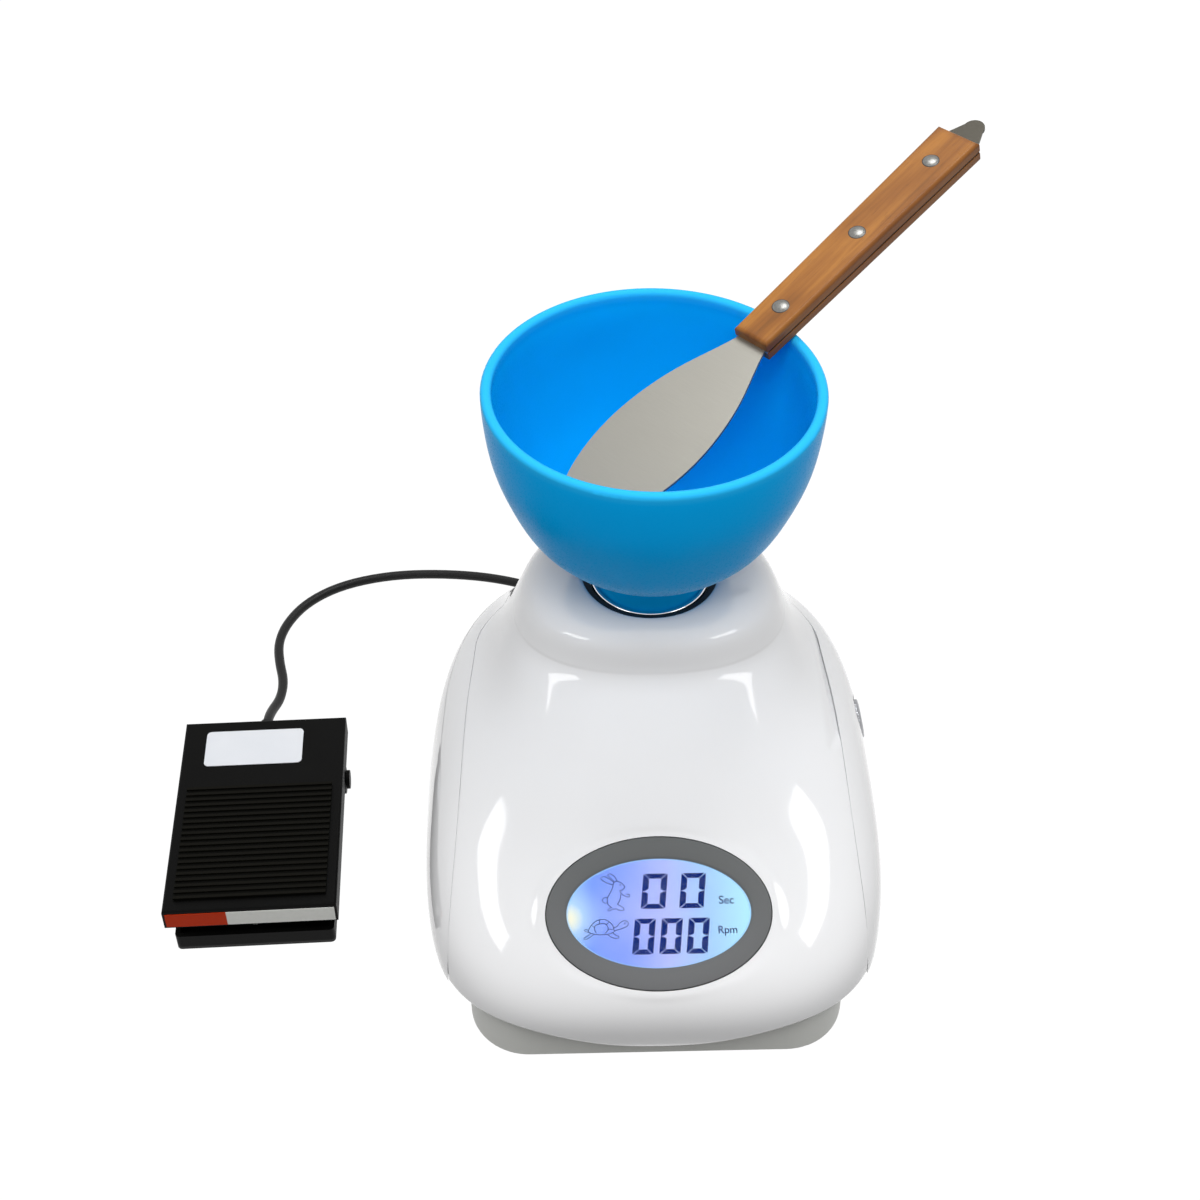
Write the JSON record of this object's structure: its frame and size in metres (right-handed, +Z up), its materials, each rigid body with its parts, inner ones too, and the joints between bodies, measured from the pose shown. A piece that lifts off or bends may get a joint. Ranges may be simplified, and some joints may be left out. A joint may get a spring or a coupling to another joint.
{
  "type": "dental impression mixer",
  "caption": "Tabletop mixer for dental impression material: a spinning bowl on a sloped housing with a display and speed knob, a wooden-handled spatula and a wired foot pedal.",
  "frame": {"origin": "on the table, under the spindle's axis", "axes": "+Z up along the spindle, -Y towards the display and the user, +X to the user's right"},
  "size_m": [0.329, 0.284, 0.2598],
  "materials": {
    "shell_white": "smooth, semi-gloss moulded plastic",
    "tray_grey": "fine matt moulded plastic",
    "foot_rubber": "matt rubber",
    "screw_steel": "plated steel",
    "cast_alloy": "machined",
    "bearing_steel": "ground steel",
    "shaft_steel": "ground steel",
    "seat_chrome": "polished",
    "seal_rubber": "satin rubber",
    "pulley_plastic": "moulded nylon",
    "pulley_alloy": "turned",
    "belt_rubber": "smooth cast belt",
    "motor_steel": "plated can",
    "bracket_steel": "pressed sheet",
    "standoff_brass": "turned",
    "board_green": "glass-fibre board",
    "board_parts": "moulded component bodies",
    "core_steel": "laminated",
    "winding_copper": "taped winding",
    "bezel_grey": "satin grey plastic",
    "window_clear": "clear, glossy",
    "cell_glass": "liquid crystal cell",
    "backlight_white": "diffuser",
    "knob_chrome": "bright, fluted side",
    "black_plastic": "moulded plastic",
    "fuse_glass": "glass tube",
    "rocker_black": "satin rocker",
    "socket_steel": "nickel plated",
    "bowl_blue": "glossy flexible rubber",
    "core_plastic": "stiff insert",
    "blade_steel": "brushed along its length",
    "handle_wood": "varnished, fine straight grain",
    "rivet_steel": "domed heads",
    "pedal_black": "semi-matt black",
    "pin_steel": "plated steel",
    "tread_rubber": "ribbed",
    "label_white": "blank label",
    "strip_white": "printed strip, orange at one end",
    "spring_steel": "wound wire",
    "plunger_white": "acetal",
    "gland_black": "moulded",
    "cable_black": "flexible sheath",
    "plug_black": "moulded plug body"
  },
  "bodies": {
    "machine": {"front_hood": "shell_white", "rear_shell": "shell_white", "base_tray": "tray_grey", "nonslip_ring": "foot_rubber", "tray_screws": "screw_steel", "housing_screws": "screw_steel", "motor_screws": "screw_steel", "board_screws": "screw_steel", "bearing_housing": "cast_alloy", "upper_bearing": "bearing_steel", "lower_bearing": "bearing_steel", "neck_seal": "seal_rubber", "drive_belt": "belt_rubber", "drive_motor": "motor_steel", "motor_bracket": "bracket_steel", "board_standoffs": "standoff_brass", "power_board": "board_green", "control_board": "board_green", "board_parts": "board_parts", "transformer_core": "core_steel", "transformer_winding": "winding_copper", "display_bezel": "bezel_grey", "display_window": "window_clear", "display_glass": "cell_glass", "display_backlight": "backlight_white", "display_board": "board_green", "speed_encoder": "black_plastic", "mains_inlet": "black_plastic", "switch_frame": "black_plastic", "foot_socket": "socket_steel", "pedal_sole": "foot_rubber", "pedal_base": "pedal_black", "hinge_pin": "pin_steel", "pedal_spring": "spring_steel", "micro_switch": "black_plastic", "cable_gland": "gland_black", "pedal_cable": "cable_black", "cable_coil": "cable_black", "cable_plug": "plug_black"},
    "spindle": {"spindle_shaft": "shaft_steel", "bowl_seat": "seat_chrome", "spindle_pulley": "pulley_plastic"},
    "bowl": {"mixing_bowl": "bowl_blue", "bowl_core": "core_plastic"},
    "spatula": {"spatula_blade": "blade_steel", "scale_front": "handle_wood", "scale_back": "handle_wood", "handle_rivets": "rivet_steel"},
    "motor_rotor": {"motor_shaft": "shaft_steel", "motor_pulley": "pulley_alloy"},
    "knob": {"speed_knob": "knob_chrome", "knob_shaft": "shaft_steel"},
    "rocker": {"power_rocker": "rocker_black"},
    "fuse_carrier": {"fuse_drawer": "black_plastic", "mains_fuse": "fuse_glass"},
    "treadle": {"treadle": "pedal_black", "tread_pad": "tread_rubber", "label_plate": "label_white", "lip_strip": "strip_white"},
    "plunger": {"switch_plunger": "plunger_white"}
  },
  "joints": [
    {"name": "spindle_spin", "type": "hinge", "parent": "machine", "child": "spindle", "pos_m": [0, 0, 0.08], "axis": [0, 0, 1], "continuous": true},
    {"name": "motor_spin", "type": "hinge", "parent": "machine", "child": "motor_rotor", "pos_m": [0, -0.062, 0.03], "axis": [0, 0, 1], "continuous": true},
    {"name": "bowl_lift", "type": "slide", "parent": "spindle", "child": "bowl", "axis": [0, 0, 1], "range_m": [0, 0.06]},
    {"name": "spatula_pull", "type": "slide", "parent": "bowl", "child": "spatula", "axis": [0.6952, 0.6551, 0.2957], "range_m": [0, 0.1]},
    {"name": "knob_turn", "type": "hinge", "parent": "machine", "child": "knob", "pos_m": [0.0862, -0.015, 0.06], "axis": [0.9703, 0, 0.2419], "range_deg": [-145, 145]},
    {"name": "rocker_tilt", "type": "hinge", "parent": "machine", "child": "rocker", "pos_m": [-0.004, 0.058, 0.046], "axis": [1, 0, 0], "range_deg": [0, 14]},
    {"name": "fuse_slide", "type": "slide", "parent": "machine", "child": "fuse_carrier", "axis": [0, 1, 0], "range_m": [0, 0.014]},
    {"name": "pedal_press", "type": "hinge", "parent": "machine", "child": "treadle", "pos_m": [-0.16187, -0.00351, 0.014], "axis": [0.9994, 0.0349, 0], "range_deg": [0, 5], "stiffness_Nm_per_rad": 3, "springref_deg": -8.59, "deforming": ["pedal_spring"]},
    {"name": "plunger_push", "type": "slide", "parent": "machine", "child": "plunger", "axis": [0, 0, -1], "range_m": [0, 0.0036]}
  ],
  "couplings": [
    {"joint": "motor_spin", "follows": "spindle_spin", "ratio": 3.2404},
    {"joint": "plunger_push", "follows": "pedal_press", "m_per_rad": 0.039}
  ]
}
